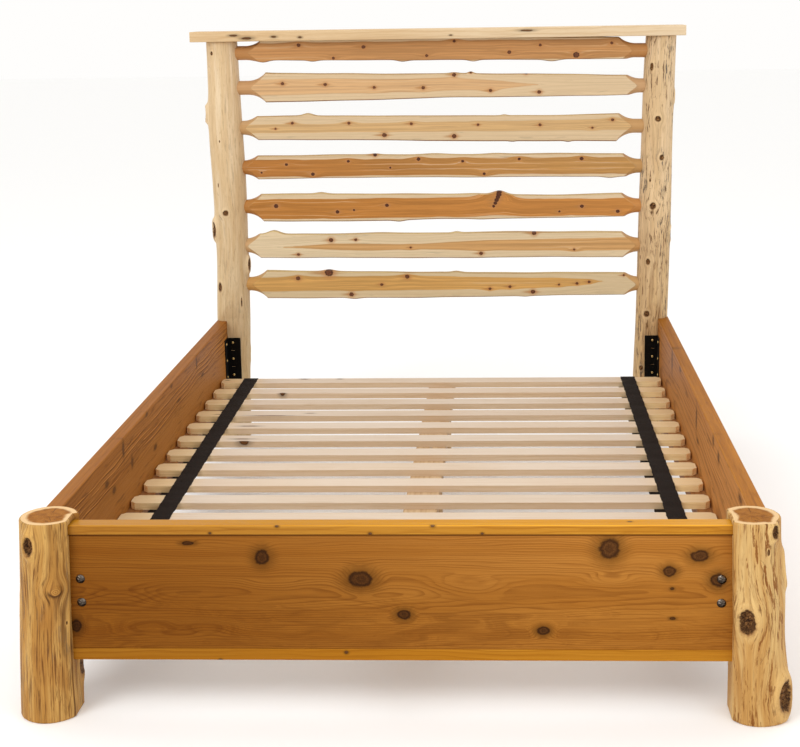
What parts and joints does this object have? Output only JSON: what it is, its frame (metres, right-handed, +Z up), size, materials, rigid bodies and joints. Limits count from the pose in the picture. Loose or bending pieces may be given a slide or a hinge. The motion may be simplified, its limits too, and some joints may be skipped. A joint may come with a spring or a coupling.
{
  "type": "log bed",
  "caption": "Rustic log bed frame for a queen mattress: round log posts, half-log headboard rails under a cap, plank footboard and side rails, and a lift-out slat roll.",
  "frame": {"origin": "middle of the footprint on the floor", "axes": "+Z up, +Y from the foot end to the headboard, +X to the right seen from the foot end"},
  "size_m": [1.706, 2.3024, 1.46],
  "materials": {
    "black_steel": "satin black powder coat",
    "brass": "dull brass plating",
    "zinc_steel": "zinc plated steel",
    "dark_bolt_steel": "dark oiled steel",
    "softwood": "planed softwood, clear oil",
    "cedar_board": "sawn cedar board, satin clear coat",
    "golden_cedar_trim": "golden cedar strip, satin clear coat",
    "peeled_log": "peeled cedar log, satin clear coat",
    "half_log": "sawn half log, satin clear coat",
    "pale_cedar_cap": "pale cedar board, satin clear coat",
    "hardwood": "smooth dowel",
    "glide_plastic": "matt dark plastic",
    "slat_pine": "planed pale softwood, bare",
    "black_webbing": "woven black webbing"
  },
  "bodies": {
    "root": {"bracket_foot_left": "black_steel", "bracket_foot_right": "black_steel", "bracket_head_left": "black_steel", "bracket_head_right": "black_steel", "bracket_screws": "brass", "ledger_screws": "zinc_steel", "ledger_left": "softwood", "ledger_right": "softwood", "side_rail_left": "cedar_board", "side_rail_right": "cedar_board", "panel_angle_left": "black_steel", "panel_angle_right": "black_steel", "panel_bolts": "dark_bolt_steel", "panel_nuts": "dark_bolt_steel", "panel_angle_screws": "zinc_steel", "foot_top_trim": "golden_cedar_trim", "foot_bottom_trim": "golden_cedar_trim", "foot_post_left": "peeled_log", "foot_post_right": "peeled_log", "foot_panel": "cedar_board", "head_rail_1": "half_log", "head_rail_2": "half_log", "head_rail_3": "half_log", "head_rail_4": "half_log", "head_rail_5": "half_log", "head_rail_6": "half_log", "head_rail_7": "half_log", "cap_dowels": "hardwood", "head_post_left": "peeled_log", "head_post_right": "peeled_log", "head_cap": "pale_cedar_cap", "beam_screws": "zinc_steel", "centre_beam": "softwood", "beam_cleat": "softwood", "leg_glides": "glide_plastic", "centre_leg_foot": "softwood", "centre_leg_middle": "softwood", "centre_leg_head": "softwood"},
    "slat_roll": {"strap_staples": "zinc_steel", "slat_01": "slat_pine", "slat_02": "slat_pine", "slat_03": "slat_pine", "slat_04": "slat_pine", "slat_05": "slat_pine", "slat_06": "slat_pine", "slat_07": "slat_pine", "slat_08": "slat_pine", "slat_09": "slat_pine", "slat_10": "slat_pine", "slat_11": "slat_pine", "slat_12": "slat_pine", "slat_13": "slat_pine", "slat_14": "slat_pine", "strap_left": "black_webbing", "strap_right": "black_webbing", "under_strap_left": "black_webbing", "under_strap_right": "black_webbing"}
  },
  "joints": [
    {"name": "slat_roll_lift", "type": "slide", "parent": "root", "child": "slat_roll", "axis": [0, 0, 1], "range_m": [0, 0.35]}
  ]
}
